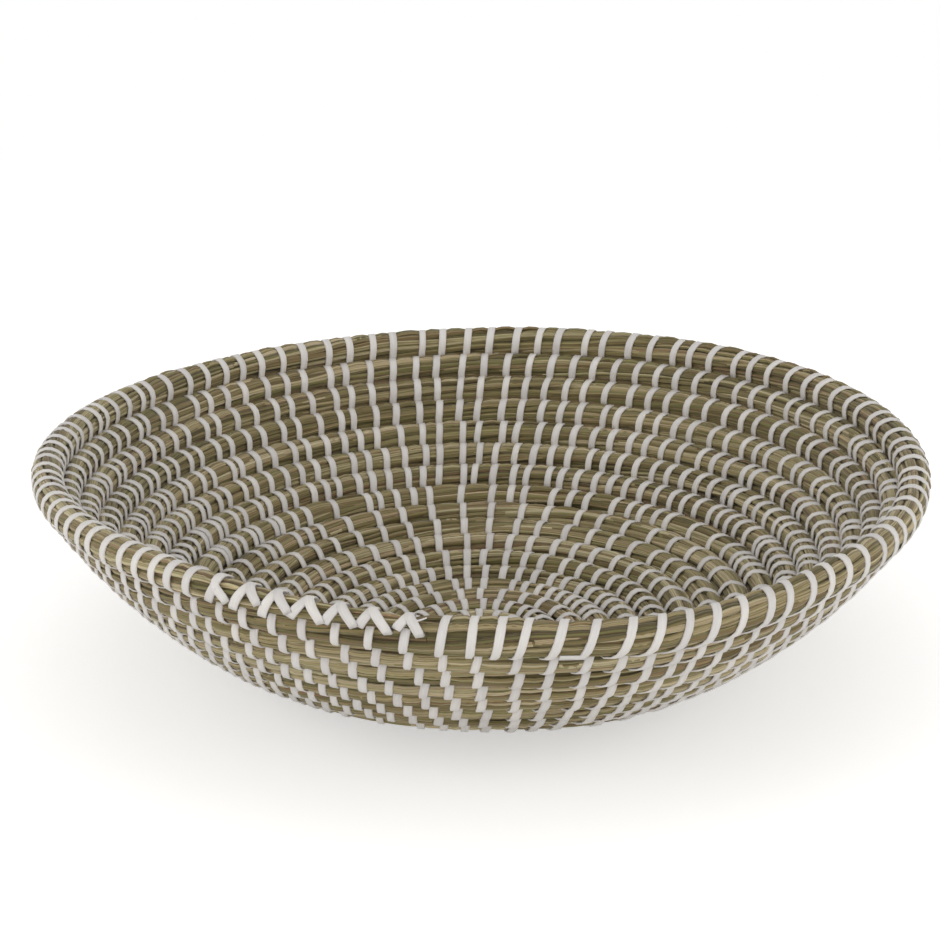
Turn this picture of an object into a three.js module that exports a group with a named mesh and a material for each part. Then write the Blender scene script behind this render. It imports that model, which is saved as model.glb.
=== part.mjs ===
// Shallow round bowl coiled from one grass bundle and sewn with flat plastic strip.
// Millimetres, +Z up, +Y away from the front, base at z = 0 with the coil's axis on Z.
import * as THREE from "three";

// Coil
const TURNS = 18; // full turns from the middle of the base to the end of the rim
const BUNDLE_WIDTH = 8.95; // along the wall
const BUNDLE_DEPTH = 9.1; // through the wall
const ROW_GAP = 0.65; // between neighbouring turns, and between the ends of two turns
const EYE_RADIUS = 0.25; // hole left where the coil starts
const EYE_TIP_ANGLE = 120; // how far the thin first end curls back past the start, degrees

// Bowl profile, from the axis outwards
const FLOOR_RADIUS = 42.5; // flat base
const SKIRT_BEND = 40; // bend from the base to the shallow skirt round it
const SKIRT_SLOPE = 16.5; // degrees
const SKIRT_END = 92; // length along the profile to the heel
const HEEL_RADIUS = 25; // bend from the skirt to the wall
const HEEL_SLOPE = 34; // where the bend gives way to the wall, degrees
const WALL_RADIUS = 168; // curve of the wall

// Hand-made unevenness of the rim, fading to nothing at the base
const SADDLE_HEIGHT = 1.8; // two opposite sides stand this much higher
const SADDLE_BEARING = 33; // degrees counter-clockwise from +X
const LEAN_HEIGHT = 2.1; // one side stands this much higher
const LEAN_BEARING = -46;
const DIP_DEPTH = 3.3; // a hollow pressed into the wall
const DIP_BEARING = 293;
const DIP_SPREAD = 17; // degrees to either side

// End of the coil
const END_BEARING = 263.5; // where the last turn runs out
const TAIL_ANGLE = 37; // length of its taper, degrees
const TAIL_WIDTH = 2.8; // bundle at the very end

// Strip sewn round the rim
const STITCHES = 98; // wraps in one full turn
const CROSSED_STITCHES = 7; // wraps that a second strip crosses on the tail
const STRIP_WIDTH = 3;
const STRIP_THICKNESS = 0.6;
const STRIP_GAP = 0.4; // round the strip on every side
const SEAT_ANGLE = 14; // degrees over which the rim lifts to let a strip pass under it

// Fineness of the solids
const LOOP_STEPS = 24; // in a turn
const SMALL_TURNS = 3; // the first turns, small enough for half the steps
const BUNDLE_SIDES = 6;

// Derived values
const PITCH = BUNDLE_WIDTH + ROW_GAP;
const STRIP_SEAT = STRIP_THICKNESS + 2 * STRIP_GAP;
const CROSSED_SEAT = 2 * STRIP_THICKNESS + 3 * STRIP_GAP;
const SEAT_TURNS = SEAT_ANGLE / 360;
const TAIL_TURNS = TAIL_ANGLE / 360;
const SEAT_START = TURNS - 1 - SEAT_TURNS;
const TAIL_START = TURNS - TAIL_TURNS;
const radians = THREE.MathUtils.degToRad;
const FULL_WIDTH_TURN = 0.5; // where the curled first end reaches the bundle's full width
const SKIRT_BEND_RUN = SKIRT_BEND * radians(SKIRT_SLOPE);
const PROFILE = [
  // length of each stretch, and its curvature
  [FLOOR_RADIUS, 0],
  [SKIRT_BEND_RUN, 1 / SKIRT_BEND],
  [SKIRT_END - FLOOR_RADIUS - SKIRT_BEND_RUN, 0],
  [HEEL_RADIUS * radians(HEEL_SLOPE - SKIRT_SLOPE), 1 / HEEL_RADIUS],
  [Infinity, 1 / WALL_RADIUS],
];
const RIM_HEIGHT = profileAt(TURNS * PITCH).height;

// A point of the bowl's profile, at a length along it from the axis: radius, height and slope.
function profileAt(length) {
  const point = { radius: 0, height: 0, slope: 0 };
  let left = length;
  for (const [run, curve] of PROFILE) {
    const part = Math.min(left, run);
    const slope = point.slope + part * curve;
    const middle = (point.slope + slope) / 2;
    const half = (slope - point.slope) / 2;
    const chord = half > 0 ? (part * Math.sin(half)) / half : part;
    point.radius += chord * Math.cos(middle);
    point.height += chord * Math.sin(middle);
    point.slope = slope;
    left -= part;
  }
  return point;
}

// Half the bundle's width at a place on the coil, counted in turns.
function halfWidth(turn) {
  if (turn < FULL_WIDTH_TURN) return (eyeEdge(turn) - EYE_RADIUS) / 2;
  const along = THREE.MathUtils.clamp((turn - TAIL_START) / TAIL_TURNS, 0, 1);
  return THREE.MathUtils.lerp(BUNDLE_WIDTH, TAIL_WIDTH, along) / 2;
}

// Outer edge of the curled first end: it fills what the next turn leaves free.
function eyeEdge(turn) {
  return (turn + 1) * PITCH - BUNDLE_WIDTH / 2 - ROW_GAP;
}

// Room between a turn and the one below it: wider where one strip, then two, pass between.
function seatAt(turn) {
  const one = THREE.MathUtils.smoothstep(turn, SEAT_START, TURNS - 1);
  const two = THREE.MathUtils.smoothstep(turn, TAIL_START - SEAT_TURNS, TAIL_START);
  return ROW_GAP + one * (STRIP_SEAT - ROW_GAP) + two * (CROSSED_SEAT - STRIP_SEAT);
}

// Length along the profile to the middle of the bundle.
function rowLength(turn) {
  if (turn < FULL_WIDTH_TURN) return (eyeEdge(turn) + EYE_RADIUS) / 2;
  if (turn <= SEAT_START) return turn * PITCH;
  return rowLength(turn - 1) + halfWidth(turn - 1) + seatAt(turn) + halfWidth(turn);
}

// Radius from the axis to the middle of the bundle.
function coilRadius(turn) {
  return profileAt(rowLength(turn)).radius;
}

// A corner of the bundle's six-sided section, lifted clear of it by a distance.
// Corner 0 points up the wall, and the corners go on over the inside, the row below and the outside.
function cornerAt(turn, corner, lift = 0) {
  const { radius, height, slope } = profileAt(rowLength(turn));
  const half = halfWidth(turn);
  const halfDepth = (half * BUNDLE_DEPTH) / BUNDLE_WIDTH;
  const angle = (corner * 2 * Math.PI) / BUNDLE_SIDES;
  const flat = Math.sin(Math.PI / 3);
  const reach = new THREE.Vector2(half * Math.cos(angle), (halfDepth * Math.sin(angle)) / flat);
  reach.setLength(reach.length() + lift);
  const bearing = radians(END_BEARING) + 2 * Math.PI * turn;
  const fromDip = (1 - Math.cos(bearing - radians(DIP_BEARING))) / radians(DIP_SPREAD) ** 2;
  const uneven =
    SADDLE_HEIGHT * Math.cos(2 * (bearing - radians(SADDLE_BEARING))) +
    LEAN_HEIGHT * Math.cos(bearing - radians(LEAN_BEARING)) -
    DIP_DEPTH * Math.exp(-2 * fromDip);
  const rest = turn < FULL_WIDTH_TURN ? halfDepth : BUNDLE_DEPTH / 2;
  const middle = rest + height + (uneven * height) / RIM_HEIGHT;
  const out = radius + reach.x * Math.cos(slope) - reach.y * Math.sin(slope);
  const up = middle + reach.x * Math.sin(slope) + reach.y * Math.cos(slope);
  return new THREE.Vector3(out * Math.cos(bearing), out * Math.sin(bearing), Math.max(up, 0));
}

// The same corner on the straight run between two steps of the loop.
function cornerBetween(turn, corner, lift) {
  const step = Math.floor(turn * LOOP_STEPS);
  const from = cornerAt(step / LOOP_STEPS, corner, lift);
  return from.lerp(cornerAt((step + 1) / LOOP_STEPS, corner, lift), turn * LOOP_STEPS - step);
}

// A closed solid through rings of points, capped at both ends.
function solidThrough(rings) {
  const sides = rings[0].length;
  const faces = [];
  for (let ring = 0; ring + 1 < rings.length; ring++)
    for (let side = 0; side < sides; side++) {
      const a = ring * sides + side;
      const b = ring * sides + ((side + 1) % sides);
      faces.push(a, b, b + sides, a, b + sides, a + sides);
    }
  const last = (rings.length - 1) * sides;
  for (let side = 1; side + 1 < sides; side++) {
    faces.push(0, side + 1, side);
    faces.push(last, last + side, last + side + 1);
  }
  const points = rings.flat();
  let volume = 0;
  for (let i = 0; i < faces.length; i += 3)
    volume += points[faces[i]].dot(
      points[faces[i + 1]].clone().cross(points[faces[i + 2]]),
    );
  if (volume < 0) faces.reverse();
  const geometry = new THREE.BufferGeometry().setFromPoints(points).setIndex(faces);
  geometry.computeVertexNormals();
  return geometry;
}

// One turn of the bundle, cut short of the turns that it runs on from and into.
function turnRings(number) {
  const first = number === 1 ? -EYE_TIP_ANGLE / 360 : number - 1;
  const trim = (turn) => ROW_GAP / 2 / (2 * Math.PI * coilRadius(turn));
  const stepsPerTurn = number > SMALL_TURNS ? LOOP_STEPS : LOOP_STEPS / 2;
  const steps = Math.round((number - first) * stepsPerTurn);
  const rings = [];
  for (let step = 0; step <= steps; step++) {
    let turn = first + step / stepsPerTurn;
    if (step === 0 && number > 1) turn += trim(turn);
    if (step === steps && number < TURNS) turn -= trim(turn);
    const ring = [];
    for (let corner = 0; corner < BUNDLE_SIDES; corner++) ring.push(cornerAt(turn, corner));
    rings.push(ring);
  }
  return rings;
}

// A strip wound round the last turn: flat side to the bundle, ridge outwards, one corner a step.
// Hand 1 climbs the outside as it goes on along the rim, hand -1 comes down it.
function stripRings(start, wraps, lift, hand) {
  const rings = [];
  for (let step = 0; step <= wraps * BUNDLE_SIDES; step++) {
    const turn = start + step / BUNDLE_SIDES / STITCHES;
    const corner = hand * step;
    const half = STRIP_WIDTH / 2 / (2 * Math.PI * coilRadius(turn));
    rings.push([
      cornerBetween(turn - half, corner, lift),
      cornerBetween(turn, corner, lift + STRIP_THICKNESS),
      cornerBetween(turn + half, corner, lift),
    ]);
  }
  return rings;
}

// The least distance between points of two lists of rings, each ring against its partner.
function leastGap(pairs) {
  let least = Infinity;
  for (const [ring, other] of pairs)
    for (const point of ring)
      for (const mate of other) least = Math.min(least, point.distanceTo(mate));
  return least;
}

const part = new THREE.Group();
part.name = "coiled_bowl";
const grass = new THREE.MeshStandardMaterial({ color: 0x9a8c62 });
const plastic = new THREE.MeshStandardMaterial({ color: 0xeeeae2 });

function addNode(name, rings, material) {
  const mesh = new THREE.Mesh(solidThrough(rings), material);
  mesh.name = name;
  part.add(mesh);
}

// The coil, one solid a turn
const coil = [];
for (let number = 1; number <= TURNS; number++) {
  const rings = turnRings(number);
  coil.push(rings);
  addNode("coil_turn_" + String(number).padStart(2, "0"), rings, grass);
}

// The strip that closes the rim, and the second strip that crosses it over the tail
const stripStart = TURNS - 1 + STRIP_WIDTH / (2 * Math.PI * coilRadius(TURNS - 1));
const stripWraps = Math.floor((TURNS - stripStart) * STITCHES);
const binding = stripRings(stripStart, stripWraps, STRIP_GAP, 1);
addNode("rim_binding_strip", binding, plastic);
const crossedLift = 2 * STRIP_GAP + STRIP_THICKNESS;
const crossedStart = stripStart + (stripWraps - CROSSED_STITCHES) / STITCHES;
const lacing = stripRings(crossedStart, CROSSED_STITCHES, crossedLift, -1);
addNode("tail_crossing_strip", lacing, plastic);

// Least gaps, measured on points
const rowPairs = [];
const beside = Array.from({ length: BUNDLE_SIDES }, (_, corner) => corner);
for (let step = 0; step <= (TURNS - 1) * LOOP_STEPS; step++)
  rowPairs.push(
    [0, 1].map((on) => beside.map((corner) => cornerAt(step / LOOP_STEPS + on, corner))),
  );
const wrapPairs = binding.slice(BUNDLE_SIDES).map((ring, step) => [ring, binding[step]]);
console.log("least gap between turns of the coil:", leastGap(rowPairs).toFixed(2), "mm");
console.log("least gap between wraps of the strip:", leastGap(wrapPairs).toFixed(2), "mm");

export default part;
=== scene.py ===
import math
import bpy
import numpy as np
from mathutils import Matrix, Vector


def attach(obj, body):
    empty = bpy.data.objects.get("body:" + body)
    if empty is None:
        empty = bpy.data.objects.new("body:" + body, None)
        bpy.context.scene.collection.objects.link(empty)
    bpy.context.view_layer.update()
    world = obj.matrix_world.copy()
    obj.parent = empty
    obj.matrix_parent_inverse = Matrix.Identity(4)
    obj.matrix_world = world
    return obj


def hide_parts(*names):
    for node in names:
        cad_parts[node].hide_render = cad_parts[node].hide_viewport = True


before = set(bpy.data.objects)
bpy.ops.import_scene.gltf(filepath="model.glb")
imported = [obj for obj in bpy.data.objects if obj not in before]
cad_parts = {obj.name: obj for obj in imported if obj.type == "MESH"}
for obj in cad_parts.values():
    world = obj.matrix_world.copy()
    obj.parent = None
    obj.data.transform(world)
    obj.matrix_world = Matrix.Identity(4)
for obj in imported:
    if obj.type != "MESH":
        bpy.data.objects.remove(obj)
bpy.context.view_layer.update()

mm = 0.001
rng = np.random.default_rng(27)
scene = bpy.context.scene
scene.view_settings.view_transform = "Standard"


def linear(hexColour):  # sRGB hex to scene linear
    parts = [int(hexColour[i:i + 2], 16) / 255 for i in (1, 3, 5)]
    return tuple(c / 12.92 if c <= 0.04045 else ((c + 0.055) / 1.055) ** 2.4 for c in parts) + (1.0,)


def addNode(tree, kind, inputs=None, **settings):
    node = tree.nodes.new(kind)
    for key, value in settings.items():
        setattr(node, key, value)
    for socket, value in (inputs or {}).items():
        if isinstance(value, bpy.types.NodeSocket):
            tree.links.new(value, node.inputs[socket])
        else:
            node.inputs[socket].default_value = value
    return node


def setRamp(node, stops):
    ramp = node.color_ramp
    while len(ramp.elements) > len(stops):
        ramp.elements.remove(ramp.elements[-1])
    while len(ramp.elements) < len(stops):
        ramp.elements.new(0.5)
    for element, (place, colour) in zip(ramp.elements, stops):
        element.position = place
        element.color = colour if isinstance(colour, tuple) else linear(colour)


def deselect():
    bpy.ops.object.select_all(action="DESELECT")


# the bowl the coil winds into, millimetres and degrees, with the profile and rim of the solids
bowl = {
    "turns": 18, "pitch": 9.6,
    "floor": 42.5, "skirtBend": 40.0, "skirtSlope": 16.5, "skirtEnd": 92.0,
    "heel": 25.0, "heelSlope": 34.0, "wall": 168.0,
    "saddle": 1.8, "saddleBearing": 33.0, "lean": 2.1, "leanBearing": -46.0,
    "dip": 3.3, "dipBearing": 293.0, "dipSpread": 17.0,
    "endBearing": 263.5,
    "underside": 0.6,  # room for the strip under the coil
    "leastRadius": 2.0,  # of a row, where lengths along it are turned to angles
}

# the bundle of grass that is wound, millimetres and shares of a turn
bundle = {
    "halfWidth": 4.75, "halfDepth": 4.6,
    "rimHalfWidth": 5.25, "rimHalfDepth": 4.95, "rimRamp": 0.05, "rimGap": 0.1,
    "swell": 0.6, "swellBearing": 283.0, "swellSpread": 33.0,  # the rim is thicker at the front
    # and thickest right of where the tail ends
    "shoulder": 1.15, "shoulderRise": (-0.012, -0.004), "shoulderFade": (2.5 / 360, 19 / 360),
    "tailTurns": 37 / 360, "tailHalf": 1.4, "tailTip": 4.5 / 360, "tipShare": 0.3, "tailHidden": 1.3 / 360,
    # the thin first end in the middle of the base, as thick as the rest from eyeTurns on
    "eyeRadius": 0.25, "eyeTip": -120 / 360, "eyeGap": 0.05, "eyeTurns": 0.5, "eyeLeast": 0.05,
}


def ease(value, low, high):
    value = np.clip((value - low) / (high - low), 0, 1)
    return value * value * (3 - 2 * value)


def profile(length):  # radius, height and slope of the bowl at a length out from its middle
    skirt, heel = math.radians(bowl["skirtSlope"]), math.radians(bowl["heelSlope"])
    bend = bowl["skirtBend"] * skirt
    stretches = (  # length and curvature
        (bowl["floor"], 0),
        (bend, 1 / bowl["skirtBend"]),
        (bowl["skirtEnd"] - bowl["floor"] - bend, 0),
        (bowl["heel"] * (heel - skirt), 1 / bowl["heel"]),
        (math.inf, 1 / bowl["wall"]),
    )
    radius, height, slope = np.zeros_like(length), np.zeros_like(length), np.zeros_like(length)
    for run, curve in stretches:
        part = np.clip(length, 0, run)
        chord = part * np.sinc(part * curve / 2 / np.pi)
        radius = radius + chord * np.cos(slope + part * curve / 2)
        height = height + chord * np.sin(slope + part * curve / 2)
        slope, length = slope + part * curve, length - part
    return radius, height, slope


def bump(turn, bearing, spread):  # 1 at a bearing, fading over some degrees to both sides
    away = np.radians(bowl["endBearing"] - bearing) + 2 * np.pi * turn
    return np.exp(-2 * (1 - np.cos(away)) / math.radians(spread) ** 2)


rimHeight = float(profile(np.array(bowl["turns"] * bowl["pitch"]))[1])


def eyeEdge(turn):  # how far out the thin first end reaches
    return (turn + 1) * bowl["pitch"] - bundle["halfWidth"] - bundle["eyeGap"]


def eyeShare(turn):  # the coil starts thin
    share = (eyeEdge(turn) - bundle["eyeRadius"]) / 2 / bundle["halfWidth"]
    return np.where(turn < bundle["eyeTurns"], np.clip(share, bundle["eyeLeast"], 1), 1.0)


def halfSize(turn):  # half the width and half the depth of the bundle
    last = bowl["turns"] - 1
    rim = ease(turn, last - bundle["rimRamp"], last + bundle["rimRamp"])
    thin = np.clip((turn - bowl["turns"] + bundle["tailTurns"]) / bundle["tailTurns"], 0, 1)
    share = eyeShare(turn) * (1 - thin * (1 - bundle["tailHalf"] / bundle["rimHalfWidth"]))
    tip = ease(bowl["turns"] - turn, 0, bundle["tailTip"])
    share = share * (bundle["tipShare"] + (1 - bundle["tipShare"]) * tip)
    swell = bundle["swell"] * bump(turn, bundle["swellBearing"], bundle["swellSpread"])
    rise = ease(turn, *(last + edge for edge in bundle["shoulderRise"]))
    fade = ease(turn, *(last + edge for edge in bundle["shoulderFade"]))
    swell = swell + bundle["shoulder"] * rise * (1 - fade)
    wide = bundle["halfWidth"] + rim * (bundle["rimHalfWidth"] + swell - bundle["halfWidth"])
    deep = bundle["halfDepth"] + rim * (bundle["rimHalfDepth"] + swell - bundle["halfDepth"])
    return wide * share, deep * share


def rowLength(turn):  # from the middle of the base to the middle of the row
    middle = (eyeEdge(turn) + bundle["eyeRadius"]) / 2
    plain = np.where(turn < bundle["eyeTurns"], middle, turn * bowl["pitch"])
    rimStart = bowl["turns"] - 1 - bundle["rimRamp"]
    if not np.any(turn > rimStart):
        return plain
    below = rowLength(np.minimum(turn, bowl["turns"] + 1) - 1)
    seated = below + halfSize(turn - 1)[0] + halfSize(turn)[0] + bundle["rimGap"]
    return np.where(turn > rimStart, seated, plain)


def onCoil(turn, up, inward):  # a point of the coil's section, up the wall and towards the inside
    radius, height, slope = profile(rowLength(turn))
    bearing = np.radians(bowl["endBearing"]) + 2 * np.pi * turn
    uneven = bowl["saddle"] * np.cos(2 * (bearing - math.radians(bowl["saddleBearing"])))
    uneven = uneven + bowl["lean"] * np.cos(bearing - math.radians(bowl["leanBearing"]))
    uneven = uneven - bowl["dip"] * bump(turn, bowl["dipBearing"], bowl["dipSpread"])
    rest = bowl["underside"] + bundle["halfDepth"] * eyeShare(turn)
    out = radius + up * np.cos(slope) - inward * np.sin(slope)
    high = rest + height * (1 + uneven / rimHeight) + up * np.sin(slope) + inward * np.cos(slope)
    return np.stack((out * np.cos(bearing), out * np.sin(bearing), high), axis=-1) * mm


def rowRadius(turn):
    return np.maximum(profile(rowLength(turn))[0], bowl["leastRadius"])


def turnAt(bearing, row):  # where a row passes a bearing
    return row - 1 + ((bearing - bowl["endBearing"]) / 360) % 1


def unwrap(bearing):  # into 180 to 540 degrees, so that the front isn't cut
    return (bearing - 180) % 360 + 180


# where the white strip goes round the bundle, millimetres and degrees
sewing = {
    # crossed stitches: bearing, where the legs part, then the foot of each leg:
    # millimetres aside, how far round, and how far it takes in the row below
    "crossed": (
        (237.9, -0.2, (-1.7, -0.58, 0.9), (5.1, -0.57, 0.0)),
        (242.0, 0.34, (-4.1, -0.65, 0.9), (4.7, -0.46, 0.0)),
        (245.55, 0.34, (-3.6, -0.65, 1.2), (5.2, -0.5, 0.2)),
        (249.45, 0.34, (-4.6, -0.51, 1.4), (5.1, -0.6, 0.8)),
        (253.35, 0.34, (-4.05, -0.52, 1.5), (5.05, -0.6, 0.8)),
        (257.15, 0.34, (-3.5, -0.51, 1.5), (5.1, -0.72, 1.05)),
        (261.3, 0.34, (-3.4, -0.5, 1.75), (3.7, -0.68, 1.9)),
    ),
    "crossedPlace": 0.3, "crossedLean": -0.8,  # shares of a leg's foot, for where it pulls the bundle in
    # bearings set one by one, and runs: first and last bearing, and how many
    "rimFront": (265.2, 268.6, 271.7, 274.5, 278.5, 282.3, 286.7, 290.3, 293.9, 297.5, 301.3, 305.3, 308.2),
    "rimBack": ((311.9, 508.0, 54), (511.2, 576.6, 22)),
    "rimLeft": (579.8, 583.2, 586.0, 588.8, 591.2, 594.0),
    "rowFront": (233.5, 237.2, 240.7, 244.5, 248.5, 252.4, 256.6, 260.9, 265.0, 269.1, 273.7, 278.0, 282.4,
                 286.6, 290.3, 293.9, 297.2, 301.2, 305.1, 309.1),
    "rowBack": ((312.9, 509.0, 54), (512.4, 590.3, 25)),
    "drift": 0.22, "jitter": 0.5,  # degrees a row, degrees a stitch
    "jitterShare": (0.7, 0.3),  # of the lower rows, and of the row under the rim
    "closest": 6.1,  # spacing under which every second stitch is left out
    "thinning": 1.2,  # further in, stitches are left out later
    "halvings": 5, "innermost": 0.1,  # columns with a smaller share than this go to the middle
    "startSpread": (0.93, 1.07),
    # lean in millimetres along the row, from the top to where the strip goes in, at some bearings
    "lean": ((180, 225, 240, 255, 270, 285, 300, 330, 400, 500, 540),
             (0.2, -0.5, 0.1, 1.1, 2.1, 2.8, 3.3, 3.2, 2.0, 0.6, 0.2)),
    "rimLean": ((180, 240, 265, 268, 272, 275, 280, 287, 294, 301, 308, 330, 400, 500, 540),
                (0.6, 1.0, 2.1, 1.2, 2.7, 3.7, 4.7, 5.4, 5.3, 4.7, 4.3, 3.6, 2.0, 1.0, 0.6)),
    "leanJitter": (0.6, 0.25), "leanShift": (0.5, 0.22),  # of the rows, and of the rim
    # how far its tip then runs on along the crease, millimetres at some bearings
    "hook": ((180, 210, 225, 240, 255, 270, 285, 300, 315, 330, 360, 400, 450, 500, 540),
             (3.2, 2.6, 1.8, 1.0, 0.0, -0.5, -2.0, -4.5, -6.0, -6.0, -5.0, -3.0, 0.0, 2.0, 3.2)),
    "hookRadii": (40, 100),  # radii between which the tips turn aside more and more
    "reach": 142.0,  # how far round the section the strip shows
    "grip": (55, 105),  # degrees from the top between which the strip comes clear of the bundle
    "width": 3.0, "thick": 0.45,
    "pinch": 0.85, "pinchLength": 2.2, "bulge": 0.25,  # the bundle bulges by this share between stitches
}


def loosen(runs):  # spacing given as runs, each stitch moved a little
    bearings = np.concatenate([np.linspace(*run) for run in runs])
    return bearings + rng.uniform(-1, 1, len(bearings)) * sewing["jitter"]


def halvingsOf(column):  # how often a column's number halves evenly
    if column == 0:
        return sewing["halvings"]
    return min(sewing["halvings"], (column & -column).bit_length() - 1)


rimColumns = np.concatenate((sewing["rimFront"], loosen(sewing["rimBack"]), sewing["rimLeft"]))
rowColumns = np.concatenate((sewing["rowFront"], loosen(sewing["rowBack"])))
# further in there is no room for all columns, so each starts at its own radius
columnShare = np.array([1 / 2 ** halvingsOf(column) for column in range(len(rowColumns))])
columnStart = columnShare ** sewing["thinning"] * sewing["closest"] * len(rowColumns) / (2 * math.pi)
columnStart = columnStart * rng.uniform(*sewing["startSpread"], len(rowColumns))


def layStitches(row):  # turn and lean of each stitch of a row
    rim = row == bowl["turns"]
    if rim:
        bearing = rimColumns
    else:
        inward = columnShare < sewing["innermost"]
        bearing = rowColumns[(rowRadius(turnAt(rowColumns, row)) > columnStart) | inward]
        bearing = bearing + sewing["drift"] * (bowl["turns"] - 1 - row)
        share = sewing["jitterShare"][row == bowl["turns"] - 1]
        bearing = bearing + rng.uniform(-1, 1, len(bearing)) * sewing["jitter"] * share
    turn = turnAt(bearing, row)
    lean = np.interp(unwrap(bearing), *sewing["rimLean" if rim else "lean"])
    lean = lean + rng.uniform(-1, 1, len(turn)) * sewing["leanJitter"][rim]
    # the bearings are of the middle of what shows, a little down the outside
    turn = turn + lean * sewing["leanShift"][rim] / (2 * np.pi * rowRadius(turn))
    order = np.argsort(turn)
    return turn[order], lean[order]


stitches = {row: layStitches(row) for row in range(1, bowl["turns"] + 1)}
apexTurns = turnAt(np.array([stitch[0] for stitch in sewing["crossed"]]), bowl["turns"])
feet = np.array([[stitch[leg][0] for stitch in sewing["crossed"]] for leg in (2, 3)])
crossTurns = apexTurns + feet * sewing["crossedPlace"] / (2 * np.pi * rowRadius(apexTurns))
allTurns = np.concatenate([stitches[row][0] for row in stitches] + list(crossTurns))
allLeans = np.concatenate([stitches[row][1] for row in stitches] + list(sewing["crossedLean"] * feet))
byTurn = np.argsort(allTurns)
allTurns, allLeans = allTurns[byTurn], allLeans[byTurn]
print("stitches laid out:", len(allTurns))


def grip(omega):  # the strip sinks into the bundle, but stands clear of it on the underside
    near, far = (math.radians(angle) for angle in sewing["grip"])
    return 1 - ease(np.abs(omega), near, far)


def pinched(turn, omega):  # how far the strip pulls the bundle in
    after = np.clip(np.searchsorted(allTurns, turn), 1, len(allTurns) - 1)
    share = np.clip(omega / math.radians(sewing["reach"]), -1, 1)
    deepest = np.zeros_like(turn)
    for nearby in (after - 2, after - 1, after, after + 1):
        nearby = np.clip(nearby, 0, len(allTurns) - 1)
        along = (turn - allTurns[nearby]) * 2 * np.pi * rowRadius(turn) - allLeans[nearby] * share
        deepest = np.maximum(deepest, np.exp(-(along / sewing["pinchLength"]) ** 2))
    return sewing["pinch"] * (deepest - sewing["bulge"]) * grip(omega)


def makeWave(lengths, heights):  # a slow wander along the coil, seeded
    shifts = rng.uniform(0, 2 * np.pi, len(lengths))
    return lambda s: sum(h * np.sin(2 * np.pi * s / l + f) for l, h, f in zip(lengths, heights, shifts))


# the camera of the photograph and a plain studio, metres and degrees
studio = {
    "eye": (0.0002, -0.8891, 0.3866), "pan": -0.342, "tilt": 19.776, "lens": 107.12, "sensor": 36,
    "floorSize": 8.0, "floorColour": "#f2f1ef", "floorGlow": 0.46, "floorFade": (0.4, 0.8), "sky": 0.52,
    "lampAim": (0, 0, 0.03),
    "lamps": (  # name, place, size, watts
        ("topSoftbox", (0.0, 0.1, 1.5), 1.6, 2.6),
        ("leftSoftbox", (-1.3, -0.45, 0.55), 1.0, 5.6),
        ("rightSoftbox", (1.3, -0.45, 0.55), 1.0, 5.0),
        ("frontFill", (0.0, -1.7, 0.45), 1.0, 6.8),
    ),
}
white = (1, 1, 1, 1)


def seenPlain(tree):  # 1 for rays from the eye and for mirror and glass rays
    path = addNode(tree, "ShaderNodeLightPath")
    seen = path.outputs["Is Camera Ray"]
    for kind in ("Is Glossy Ray", "Is Transmission Ray"):
        either = addNode(tree, "ShaderNodeMath", {0: seen, 1: path.outputs[kind]}, operation="MAXIMUM")
        seen = either.outputs[0]
    return seen


def makeCamera():
    pan, tilt = math.radians(studio["pan"]), math.radians(studio["tilt"])
    aim = Vector((math.sin(pan) * math.cos(tilt), math.cos(pan) * math.cos(tilt), -math.sin(tilt)))
    bpy.ops.object.camera_add(location=studio["eye"], rotation=aim.to_track_quat("-Z", "Y").to_euler())
    camera = bpy.context.object
    camera.name = "photoCamera"
    camera.data.lens = studio["lens"]
    camera.data.sensor_width = studio["sensor"]
    scene.camera = camera


def makeLamps():
    for name, place, size, watts in studio["lamps"]:
        turned = (Vector(studio["lampAim"]) - Vector(place)).to_track_quat("-Z", "Y").to_euler()
        bpy.ops.object.light_add(type="AREA", location=place, rotation=turned)
        bpy.context.object.name = name
        bpy.context.object.data.size = size
        bpy.context.object.data.energy = watts


def makeRoom():  # plain white to the eye, dimmer as a light
    world = bpy.data.worlds.new("paleRoom")
    scene.world = world
    world.use_nodes = True
    tree = world.node_tree
    tree.nodes.clear()
    strengths = {"Value": seenPlain(tree), "To Min": studio["sky"], "To Max": 1.0}
    seen = addNode(tree, "ShaderNodeMapRange", strengths)
    sky = addNode(tree, "ShaderNodeBackground", {"Color": white, "Strength": seen.outputs["Result"]})
    addNode(tree, "ShaderNodeOutputWorld", {"Surface": sky.outputs["Background"]})


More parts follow.
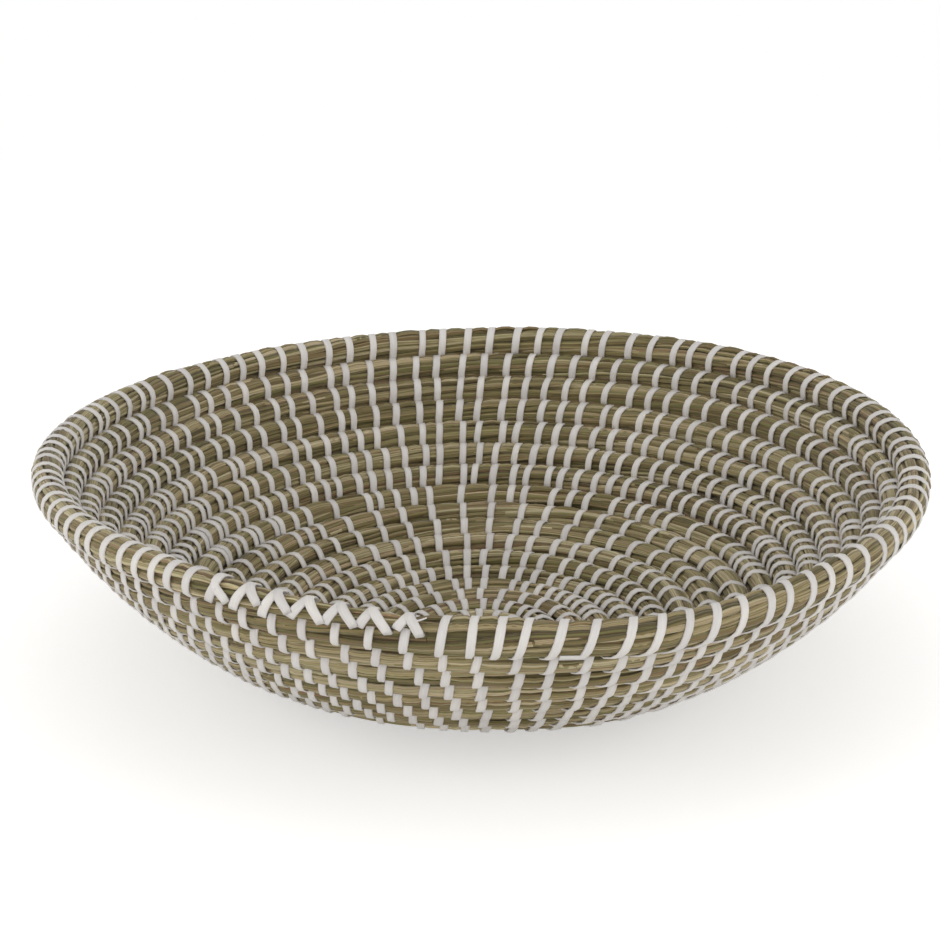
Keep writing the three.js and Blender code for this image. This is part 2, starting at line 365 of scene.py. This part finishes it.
def makeFloor():
    bpy.ops.mesh.primitive_plane_add(size=studio["floorSize"], location=(0, 0, 0))
    floor = bpy.context.object
    floor.name = "paleFloor"
    paint = bpy.data.materials.new("mattWhiteFloor")  # white sweep that keeps the soft shadow
    paint.use_nodes = True
    tree = paint.node_tree
    tree.nodes.clear()
    matt = addNode(tree, "ShaderNodeBsdfDiffuse", {"Color": linear(studio["floorColour"])})
    seen = seenPlain(tree)
    glow = addNode(tree, "ShaderNodeMath", {0: seen, 1: studio["floorGlow"]}, operation="MULTIPLY")
    light = addNode(tree, "ShaderNodeEmission", {"Color": white, "Strength": glow.outputs[0]})
    both = addNode(tree, "ShaderNodeAddShader", {0: matt.outputs[0], 1: light.outputs[0]})
    # past the shadow it fades into the white of the room
    spot = addNode(tree, "ShaderNodeNewGeometry")
    away = addNode(tree, "ShaderNodeVectorMath", {0: spot.outputs["Position"]}, operation="LENGTH")
    near, far = studio["floorFade"]
    fade = {"Value": away.outputs["Value"], "From Min": near, "From Max": far}
    faded = addNode(tree, "ShaderNodeMapRange", fade)
    blend = addNode(tree, "ShaderNodeMath", {0: faded.outputs[0], 1: seen}, operation="MULTIPLY")
    plain = addNode(tree, "ShaderNodeEmission", {"Color": white, "Strength": 1.0})
    layers = {0: blend.outputs[0], 1: both.outputs[0], 2: plain.outputs[0]}
    sweep = addNode(tree, "ShaderNodeMixShader", layers)
    addNode(tree, "ShaderNodeOutputMaterial", {"Surface": sweep.outputs[0]})
    floor.data.materials.append(paint)


deselect()
makeCamera()
makeLamps()
makeRoom()
deselect()
makeFloor()
print("studio ready")


# dried seagrass; a pattern's cells are counted round a stem and to the metre along it
seagrassLook = {
    "stemShift": 57.0,  # sets the patterns of two stems apart
    "stemSpread": 0.45,  # how much the stems differ in tone
    "driftCells": (0.8, 40.0, 1.0), "driftDetail": 3.0,  # tone changes every 25 mm
    "tones": ((0.24, "#483b1e"), (0.38, "#6f613c"), (0.5, "#887953"), (0.61, "#aa9b73"), (0.75, "#d2c4a3")),
    "hueCells": (0.5, 26.0, 1.0), "hueShift": (3.1, 7.7, 0.0), "hueDetail": 1.0,  # every 38 mm
    "patchCells": 38.0, "patchShift": 5.0, "patchDetail": 2.0,  # every 26 mm, all stems together
    # colour, then the noise value where it starts, where it is full and how much is mixed in
    "greenLengths": ("#7d7b48", 0.5, 0.62, 0.6), "pinkLengths": ("#a17a60", 0.43, 0.33, 0.45),
    "olivePatches": ("#7b7840", 0.5, 0.66, 0.4), "brownPatches": ("#84663c", 0.46, 0.3, 0.4),
    "fibreCells": (11.0, 55.0, 1.0), "fibreDetail": 4.0, "fibreRoughness": 0.62,  # 0.6 by 18 mm
    "fibreTones": ((0.3, (0.3, 0.28, 0.23, 1)), (0.42, (0.74, 0.73, 0.7, 1)),
                   (0.55, (1, 1, 1, 1)), (0.72, (1.5, 1.5, 1.46, 1))),
    "fibreMix": 0.85, "fibreRange": (0.3, 0.7), "roughness": (0.72, 0.5),
    "ridgeStrength": 0.8, "ridgeHeight": 0.4, "specular": 0.35, "sheen": 0.15,
}


def makeSeagrass():  # dry flat stems: fibre streaks, olive to straw, with greener and pinkish lengths
    look = seagrassLook
    material = bpy.data.materials.new("driedSeagrass")
    material.use_nodes = True
    tree = material.node_tree
    tree.nodes.clear()
    stem = addNode(tree, "ShaderNodeAttribute", attribute_name="stemTone").outputs["Fac"]
    uv = addNode(tree, "ShaderNodeUVMap", uv_map="UVMap").outputs["UV"]
    shift = addNode(tree, "ShaderNodeMath", {0: stem, 1: look["stemShift"]}, operation="MULTIPLY").outputs[0]

    # tone drifts along a stem
    slow = addNode(tree, "ShaderNodeMapping", {"Vector": uv, "Scale": look["driftCells"]})
    cells = {"Vector": slow.outputs[0], "W": shift, "Scale": 1.0, "Detail": look["driftDetail"]}
    drift = addNode(tree, "ShaderNodeTexNoise", cells, noise_dimensions="4D")
    spread = {0: stem, 1: look["stemSpread"], 2: -look["stemSpread"] / 2}
    mixed = addNode(tree, "ShaderNodeMath", spread, operation="MULTIPLY_ADD")
    lifted = addNode(tree, "ShaderNodeMath", {0: drift.outputs["Fac"], 1: mixed.outputs[0]}, operation="ADD")
    tone = addNode(tree, "ShaderNodeValToRGB", {"Fac": lifted.outputs[0]})
    setRamp(tone, look["tones"])

    # lengths of a stem are greener or pinkish, and the whole bundle turns browner or greener in patches
    dried = {"Vector": uv, "Location": look["hueShift"], "Scale": look["hueCells"]}
    place = addNode(tree, "ShaderNodeMapping", dried)
    cells = {"Vector": place.outputs[0], "W": shift, "Scale": 1.0, "Detail": look["hueDetail"]}
    hue = addNode(tree, "ShaderNodeTexNoise", cells, noise_dimensions="4D")
    along = addNode(tree, "ShaderNodeSeparateXYZ", {0: uv})
    spot = {0: along.outputs["Y"], 1: look["patchCells"], 2: look["patchShift"]}
    place = addNode(tree, "ShaderNodeMath", spot, operation="MULTIPLY_ADD")
    cells = {"W": place.outputs[0], "Scale": 1.0, "Detail": look["patchDetail"]}
    patch = addNode(tree, "ShaderNodeTexNoise", cells, noise_dimensions="1D")
    body = tone.outputs["Color"]
    tints = (("greenLengths", hue), ("pinkLengths", hue), ("olivePatches", patch), ("brownPatches", patch))
    for name, noise in tints:
        colour, start, full, most = look[name]
        share = {"Value": noise.outputs["Fac"], "From Min": start, "From Max": full, "To Max": most}
        amount = addNode(tree, "ShaderNodeMapRange", share)
        tint = {"Fac": amount.outputs[0], "Color1": body, "Color2": linear(colour)}
        body = addNode(tree, "ShaderNodeMixRGB", tint).outputs[0]

    # fibre streaks with thin dark lines between them
    fine = addNode(tree, "ShaderNodeMapping", {"Vector": uv, "Scale": look["fibreCells"]})
    cells = {"Vector": fine.outputs[0], "W": shift, "Scale": 1.0, "Detail": look["fibreDetail"],
             "Roughness": look["fibreRoughness"]}
    fibre = addNode(tree, "ShaderNodeTexNoise", cells, noise_dimensions="4D").outputs["Fac"]
    line = addNode(tree, "ShaderNodeValToRGB", {"Fac": fibre})
    setRamp(line, look["fibreTones"])
    streaks = {"Fac": look["fibreMix"], "Color1": body, "Color2": line.outputs["Color"]}
    streaked = addNode(tree, "ShaderNodeMixRGB", streaks, blend_type="MULTIPLY")
    (low, high), (dull, shiny) = look["fibreRange"], look["roughness"]
    polish = {"Value": fibre, "From Min": low, "From Max": high, "To Min": dull, "To Max": shiny}
    rough = addNode(tree, "ShaderNodeMapRange", polish)
    relief = {"Height": fibre, "Strength": look["ridgeStrength"], "Distance": look["ridgeHeight"] * mm}
    ridge = addNode(tree, "ShaderNodeBump", relief)
    shader = addNode(tree, "ShaderNodeBsdfPrincipled", {
        "Base Color": streaked.outputs[0], "Roughness": rough.outputs[0], "Normal": ridge.outputs[0],
        "Specular IOR Level": look["specular"], "Sheen Weight": look["sheen"],
    })
    addNode(tree, "ShaderNodeOutputMaterial", {"Surface": shader.outputs[0]})
    return material


# white plastic strip; cells across the strip, and to 10 mm along it
whiteStripLook = {
    "stitchShift": 91.0,  # sets the ridges of two stitches apart
    "tones": ((0.0, "#d4cfcb"), (0.5, "#dbd7d3"), (1.0, "#e2ddd7")),
    "ridgeCells": (9.0, 1.5, 1.0), "ridgeDetail": 3.0,  # ridges 0.3 mm wide
    "ridgeRange": (0.3, 0.7), "ridgeShade": (0.9, 1.03), "ridgeStrength": 0.35, "ridgeHeight": 0.15,
    "roughness": 0.42, "specular": 0.35,
}


def makeWhiteStrip():  # satin white plastic, faintly ridged lengthwise
    look = whiteStripLook
    material = bpy.data.materials.new("whitePlasticStrip")
    material.use_nodes = True
    tree = material.node_tree
    tree.nodes.clear()
    own = addNode(tree, "ShaderNodeAttribute", attribute_name="stitchTone").outputs["Fac"]
    uv = addNode(tree, "ShaderNodeUVMap", uv_map="UVMap").outputs["UV"]
    shift = addNode(tree, "ShaderNodeMath", {0: own, 1: look["stitchShift"]}, operation="MULTIPLY")
    fine = addNode(tree, "ShaderNodeMapping", {"Vector": uv, "Scale": look["ridgeCells"]})
    cells = {"Vector": fine.outputs[0], "W": shift.outputs[0], "Scale": 1.0, "Detail": look["ridgeDetail"]}
    ridges = addNode(tree, "ShaderNodeTexNoise", cells, noise_dimensions="4D").outputs["Fac"]
    tone = addNode(tree, "ShaderNodeValToRGB", {"Fac": own})
    setRamp(tone, look["tones"])
    (low, high), (dark, light) = look["ridgeRange"], look["ridgeShade"]
    lines = {"Value": ridges, "From Min": low, "From Max": high, "To Min": dark, "To Max": light}
    line = addNode(tree, "ShaderNodeMapRange", lines)
    shades = {"Fac": 1.0, "Color1": tone.outputs["Color"], "Color2": line.outputs[0]}
    shade = addNode(tree, "ShaderNodeMixRGB", shades, blend_type="MULTIPLY")
    relief = {"Height": ridges, "Strength": look["ridgeStrength"], "Distance": look["ridgeHeight"] * mm}
    ridge = addNode(tree, "ShaderNodeBump", relief)
    shader = addNode(tree, "ShaderNodeBsdfPrincipled", {
        "Base Color": shade.outputs[0], "Roughness": look["roughness"], "Normal": ridge.outputs[0],
        "Specular IOR Level": look["specular"],
    })
    addNode(tree, "ShaderNodeOutputMaterial", {"Surface": shader.outputs[0]})
    return material


seagrass = makeSeagrass()
whiteStrip = makeWhiteStrip()
print("materials ready")


# the stems of the bundle, millimetres
grass = {
    "lanes": 22, "radius": (0.7, 1.4), "leastRadius": 0.08, "step": 2.6, "bevelSteps": 2,
    "stemLength": (200.0, 460.0), "firstStart": 20.0, "lastRest": 5.0,
    # on the small turns a stem is shorter: a share of the way round, and a little more
    "roundShare": (0.7, 0.95), "leastRound": 22.0, "roundExtra": 14.0,
    "taper": 22.0, "endShare": 0.3, "endSink": 0.8,  # a stem's ends thin out and sink in
    "wander": ((30.0, 60.0, 140.0, 420.0), (0.03, 0.09, 0.15, 0.18)),  # lengths in mm, angles in radians
    "sink": ((31.0, 74.0, 170.0), (0.09, 0.12, 0.12)),  # lengths and depths in mm
    "swell": ((55.0, 140.0), (0.08, 0.08)),  # lengths in mm, shares of the radius
    "angleSpread": 0.13, "deeper": (-0.05, 0.3),
    "meeting": (0.05, 0.4), "press": 0.3,  # stems press together where rows meet
    "twist": 420.0,  # length in which the bundle turns once
    "coreGap": 1.2, "coreShare": 0.6, "coreStep": 5.0, "coreLeastSteps": 12,
    "packing": 1.5, "packingShare": 0.5,
    "tableSteps": 24000,
}

# length along the coil against turns
coilEnd = bowl["turns"] - bundle["tailHidden"]
turnTable = np.linspace(bundle["eyeTip"], coilEnd, grass["tableSteps"] + 1)
tableRuns = np.linalg.norm(np.diff(onCoil(turnTable, 0, 0), axis=0), axis=1)
lengthTable = np.concatenate(([0], np.cumsum(tableRuns))) / mm
coilLength = float(lengthTable[-1])


def makeTube(points, radii, start, tone, name):  # one stem along its points, radii in millimetres
    curve = bpy.data.curves.new(name, "CURVE")
    curve.dimensions = "3D"
    curve.twist_mode = "Z_UP"
    curve.bevel_depth = mm
    curve.bevel_resolution = grass["bevelSteps"]
    curve.use_fill_caps = True
    spline = curve.splines.new("POLY")
    spline.points.add(len(points) - 1)
    spline.points.foreach_set("co", np.column_stack((points, np.ones(len(points)))).ravel())
    spline.points.foreach_set("radius", radii)
    stem = bpy.data.objects.new(name, curve)
    scene.collection.objects.link(stem)
    deselect()
    stem.select_set(True)
    bpy.context.view_layer.objects.active = stem
    bpy.ops.object.convert(target="MESH")
    stem = bpy.context.object
    mesh = stem.data
    length = float(np.linalg.norm(np.diff(points, axis=0), axis=1).sum())
    layer = mesh.uv_layers[0]
    layer.name = "UVMap"
    flat = np.empty(len(layer.data) * 2)
    layer.data.foreach_get("uv", flat)
    flat[1::2] = start * mm + flat[1::2] * length  # metres along the coil
    layer.data.foreach_set("uv", flat)
    own = mesh.attributes.new("stemTone", "FLOAT", "POINT")
    own.data.foreach_set("value", np.full(len(mesh.vertices), tone))
    return stem


def layLane(lane):  # stems laid end to end along one lane of the bundle
    waves = {name: makeWave(*grass[name]) for name in ("wander", "sink", "swell")}
    start = -rng.uniform(0, grass["firstStart"])
    while start < coilLength - grass["lastRest"]:
        turn = np.interp(max(start, 0), lengthTable, turnTable)
        around = max(2 * np.pi * float(rowRadius(turn)), grass["leastRound"])
        fullLength = rng.uniform(*grass["stemLength"])
        roundLength = around * rng.uniform(*grass["roundShare"]) + grass["roundExtra"]
        length = min(fullLength, roundLength)
        yield {
            "start": start, "end": start + length,
            "radius": rng.uniform(*grass["radius"]), "tone": rng.uniform(0, 1),
            "angle": 2 * np.pi * lane / grass["lanes"] + rng.normal(0, grass["angleSpread"]),
            "deeper": rng.uniform(*grass["deeper"]), **waves,
        }
        start += length - grass["taper"]


def stemPoints(stem):
    low, high = max(0.0, stem["start"]), min(stem["end"], coilLength)
    along = np.linspace(low, high, max(3, int((high - low) / grass["step"]) + 1))
    turn = np.interp(along, lengthTable, turnTable)
    wide, deep = halfSize(turn)
    share = np.minimum(wide / bundle["halfWidth"], 1)
    ends = ease(np.minimum(along - stem["start"], stem["end"] - along), 0, grass["taper"])
    radius = stem["radius"] * (1 + stem["swell"](along)) * share
    radius = radius * (grass["endShare"] + (1 - grass["endShare"]) * ends)
    omega = stem["angle"] + stem["wander"](along) + 2 * np.pi * along / grass["twist"]
    omega = (omega + np.pi) % (2 * np.pi) - np.pi
    free = ease(np.abs(np.sin(omega)), *grass["meeting"])
    free = np.where((turn > bowl["turns"] - 1) & (np.abs(omega) < np.pi / 2), 1, free)
    relief = stem["sink"](along) + stem["deeper"] + pinched(turn, omega)
    inset = radius + share * (free * relief - (1 - free) * grass["press"] + (1 - ends) * grass["endSink"])
    points = onCoil(turn, (wide - inset) * np.cos(omega), (deep - inset) * np.sin(omega))
    return points, np.maximum(radius, grass["leastRadius"]), low


def makeGrassTurn(row, stems):
    first = bundle["eyeTip"] if row == 1 else row - 1
    low, high = np.interp((first, row), turnTable, lengthTable)
    parts = []
    for stem in stems:  # those whose middle lies on this turn
        if low <= max(0.0, stem["start"]) / 2 + min(stem["end"], coilLength) / 2 < high:
            parts.append(makeTube(*stemPoints(stem), stem["tone"], f"stem{row:02d}.{len(parts)}"))
    along = np.linspace(low, high, max(grass["coreLeastSteps"], int((high - low) / grass["coreStep"])))
    turn = np.interp(along, lengthTable, turnTable)
    wide, deep = halfSize(turn)
    core = np.maximum(deep - grass["coreGap"], deep * grass["coreShare"])
    # the core takes stem tone 0, the darkest of the stem tones: painted shade for the depth of the bundle
    # seen between the stems
    parts.append(makeTube(onCoil(turn, 0, 0), core, low, 0.0, f"core{row:02d}"))
    if row < bowl["turns"]:  # stems packed where this row meets the next
        thick = np.minimum(wide, halfSize(turn + 1)[0]) * grass["packingShare"]
        thick = np.minimum(thick, grass["packing"])
        # the packing takes stem tone 0, the darkest of the stem tones: painted shade in the crease between
        # the rows
        parts.append(makeTube(onCoil(turn, wide, 0), thick, low, 0.0, f"packing{row:02d}"))
    deselect()
    for part in parts:
        part.select_set(True)
    bpy.context.view_layer.objects.active = parts[-1]
    bpy.ops.object.join()
    piece = bpy.context.object
    piece.name = f"grassTurn{row:02d}"
    bpy.ops.object.shade_smooth()
    piece.data.materials.append(seagrass)
    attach(piece, "root")
    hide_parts(f"coil_turn_{row:02d}")
    return len(piece.data.polygons)


allStems = [stem for lane in range(grass["lanes"]) for stem in layLane(lane)]
faces = sum(makeGrassTurn(row, allStems) for row in range(1, bowl["turns"] + 1))
print("grass turns:", bowl["turns"], "stems:", len(allStems), "faces:", faces)


# one stitch of flat strip, modelled straight and then laid round the bundle, millimetres
strip = {
    "length": 28.0, "cuts": 13, "shoulder": 0.78, "uvLength": 10.0,
    "widths": (2.65, 3.1), "lifts": (0.03, 0.12),
    "rimProud": 0.1,  # drawn tight over the thick rim, it stands a little higher
    "tipStart": 0.6, "tipCurve": 1.5, "tipNarrow": 0.5,  # where the tip begins to turn aside and narrow
    "brow": 50.0, "smoothing": 4,  # degrees from the top to where a crossed leg starts down, points to a side
    "sunk": 0.75, "skin": 0.04,  # share of the pinch it sinks by, and what it stays clear of the stems
    "tailDepth": 0.95,  # over the thin tail, its loop's depth to its width
    "shown": 0.86, "diveDown": 0.38, "diveIn": 0.4,  # past what shows its ends dive into the row below
    "pathSteps": 81,
}


def makeBlank():
    deselect()
    bpy.ops.mesh.primitive_cube_add(size=1)
    blank = bpy.context.object
    blank.scale = (sewing["width"], strip["length"], sewing["thick"])
    bpy.ops.object.transform_apply(location=False, rotation=False, scale=True)
    mesh = blank.data
    bpy.ops.object.mode_set(mode="EDIT")
    bpy.ops.mesh.select_mode(type="EDGE")
    bpy.ops.mesh.select_all(action="DESELECT")
    bpy.ops.object.mode_set(mode="OBJECT")
    for edge in mesh.edges:  # the four long edges
        a, b = (mesh.vertices[v].co for v in edge.vertices)
        edge.select = abs(a.y - b.y) > 1
    bpy.ops.object.mode_set(mode="EDIT")
    bpy.ops.mesh.subdivide(number_cuts=strip["cuts"])
    bpy.ops.mesh.select_mode(type="VERT")
    bpy.ops.mesh.select_all(action="DESELECT")
    bpy.ops.object.mode_set(mode="OBJECT")
    for vertex in mesh.vertices:  # the upper face draws in to a rounded shoulder
        vertex.select = vertex.co.z > 0
    bpy.ops.object.mode_set(mode="EDIT")
    bpy.ops.transform.resize(value=(strip["shoulder"], 1, 1), center_override=(0, 0, 0))
    bpy.ops.object.mode_set(mode="OBJECT")
    shape = np.array([v.co for v in mesh.vertices])
    loops = [tuple(p.vertices) for p in mesh.polygons]
    bpy.data.objects.remove(blank)
    return shape, loops


blankShape, blankLoops = makeBlank()
print("strip blank faces:", len(blankLoops))

# along a stitch, from the outside over the top to the inside
pathShares = np.linspace(-1, 1, strip["pathSteps"])


def rowPath(turn, lean):  # leaning a little, its tip narrowing along the crease
    bearing = unwrap(bowl["endBearing"] + 360 * turn)
    hook = float(np.interp(bearing, *sewing["hook"]))
    hook = hook * float(ease(rowRadius(np.array(turn)), *sewing["hookRadii"]))
    tip = np.clip((-pathShares - strip["tipStart"]) / (1 - strip["tipStart"]), 0, 1) ** strip["tipCurve"]
    return np.stack((pathShares, lean * pathShares + hook * tip, 1 - strip["tipNarrow"] * tip))


def legPath(foot, low, meet, high):  # straight to the eye from the top down to its foot
    shares = np.linspace(low, high, strip["pathSteps"])
    reach, brow = math.radians(sewing["reach"]), math.radians(strip["brow"])
    down = 1 - np.cos(np.minimum(shares * reach - brow, 0))
    start = 1 - math.cos(min(meet * reach - brow, 0))
    places = foot * np.clip((down - start) / (down[0] - start), 0, 1)
    beside = strip["smoothing"]
    around = 2 * beside + 1
    places = np.convolve(np.pad(places, beside, mode="edge"), np.full(around, 1 / around), mode="valid")
    return np.stack((shares, places, np.ones_like(shares)))


def layStitch(turn, path, width, lift, drop=None):
    x, y, z = blankShape.T
    v = y / strip["length"] * 2
    reach = math.radians(sewing["reach"])
    wide, deep = (float(h) for h in halfSize(np.array(turn)))
    if drop is not None:  # over the thin tail the strip also takes in the top of the row below
        wide, deep = wide + drop, max(deep, (wide + drop) * strip["tailDepth"])
    arc = reach * (wide + deep) / 2
    run = np.concatenate(([0], np.cumsum(np.hypot(np.diff(path[0]) * arc, np.diff(path[1])))))
    at = (np.clip(v / strip["shown"], -1, 1) + 1) / 2 * run[-1]
    slant = np.interp(at, run, np.arctan2(np.gradient(path[1]), np.gradient(path[0]) * arc))
    across = x * width / sewing["width"] * np.interp(at, run, path[2])
    along = np.interp(at, run, path[1]) + across * np.cos(slant)
    omega = (np.interp(at, run, path[0]) - across * np.sin(slant) / arc) * reach
    inset = sewing["pinch"] * strip["sunk"] * grip(omega) - lift - strip["skin"]
    wide, deep = wide - inset, deep - inset
    normUp, normIn = np.cos(omega) / wide, np.sin(omega) / deep
    size = np.hypot(normUp, normIn)
    raised = z + sewing["thick"] / 2
    dive = np.clip((np.abs(v) - strip["shown"]) / (1 - strip["shown"]), 0, 1)
    sinking = strip["diveDown"] if drop is None else 0
    up = wide * np.cos(omega) + normUp / size * raised - (drop or 0) - dive * wide * sinking
    inward = deep * np.sin(omega) + normIn / size * raised - dive * deep * strip["diveIn"] * np.sign(v)
    return onCoil(turn + along / (2 * np.pi * float(rowRadius(np.array(turn)))), up, inward)


# free bits of strip on the rim; angles round the section, lifts and widths are those of the two ends
strayRun = {  # shows in the crease under the rim
    "bearing": 280.0, "length": 7.6, "omega": (-107.0, -107.0), "lift": (0.2, 0.2), "width": (2.6, 2.6),
}
cutEnd = {  # of the crossing strip
    "bearing": 262.7, "length": 4.2, "omega": (-40.0, -5.0), "lift": (0.3, 1.9), "width": (2.2, 0.7),
}


def layLoose(bearing, length, omega, lift, width):  # a free bit of strip lying along the rim
    x, y, z = blankShape.T
    s = y / strip["length"] + 0.5
    turn = turnAt(bearing, bowl["turns"])
    at = turn + (s - 0.5) * length / (2 * np.pi * float(rowRadius(np.array(turn))))
    wide, deep = halfSize(at)
    out = np.interp(s, (0, 1), lift) + z + sewing["thick"] / 2
    aside = x * np.interp(s, (0, 1), width) / sewing["width"] / bundle["halfWidth"]
    angle = np.radians(np.interp(s, (0, 1), omega)) + aside
    return onCoil(at, (wide + out) * np.cos(angle), (deep + out) * np.sin(angle))


def makeStrips(name, laid, nodes):
    points = np.concatenate(laid)
    points[:, 2] = np.maximum(points[:, 2], 0)  # flat where the basket stands
    count = len(blankShape)
    faces = [tuple(v + i * count for v in loop) for i in range(len(laid)) for loop in blankLoops]
    mesh = bpy.data.meshes.new(name)
    mesh.from_pydata(points.tolist(), [], faces)
    tones = np.repeat(rng.uniform(0, 1, len(laid)), count)
    mesh.attributes.new("stitchTone", "FLOAT", "POINT").data.foreach_set("value", tones)
    uv = np.column_stack((blankShape[:, 0] / sewing["width"] + 0.5, blankShape[:, 1] / strip["uvLength"]))
    layer = mesh.uv_layers.new(name="UVMap")
    corner = np.empty(len(mesh.loops), int)
    mesh.loops.foreach_get("vertex_index", corner)
    layer.data.foreach_set("uv", uv[corner % count].ravel())
    piece = bpy.data.objects.new(name, mesh)
    scene.collection.objects.link(piece)
    deselect()
    piece.select_set(True)
    bpy.context.view_layer.objects.active = piece
    bpy.ops.object.mode_set(mode="EDIT")
    bpy.ops.mesh.select_all(action="SELECT")
    bpy.ops.mesh.normals_make_consistent(inside=False)
    bpy.ops.object.mode_set(mode="OBJECT")
    bpy.ops.object.shade_smooth()
    mesh.materials.append(whiteStrip)
    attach(piece, "root")
    if nodes:
        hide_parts(nodes)


for row in stitches:
    rim = row == bowl["turns"]
    proud = strip["rimProud"] if rim else 0.0
    laid = []
    for turn, lean in zip(*stitches[row]):
        width, lift = rng.uniform(*strip["widths"]), rng.uniform(*strip["lifts"]) + proud
        laid.append(layStitch(turn, rowPath(turn, lean), width, lift))
    if rim:
        laid.append(layLoose(**strayRun))
    makeStrips("rimStrip" if rim else f"stripTurn{row:02d}", laid, "rim_binding_strip" if rim else None)

# the stitches over the tail, left leg and right leg: how high each lies and how far over the top it goes
crossing = {"width": 3.1, "lifts": (0.45, 0.8), "ends": (0.6, 1.0)}
crossed = []
for turn, (_, meet, *legs) in zip(apexTurns, sewing["crossed"]):
    for (foot, low, drop), lift, end in zip(legs, crossing["lifts"], crossing["ends"]):
        crossed.append(layStitch(turn, legPath(foot, low, meet, end), crossing["width"], lift, drop))
crossed.append(layLoose(**cutEnd))
makeStrips("tailCrossing", crossed, "tail_crossing_strip")
print("strips sewn")
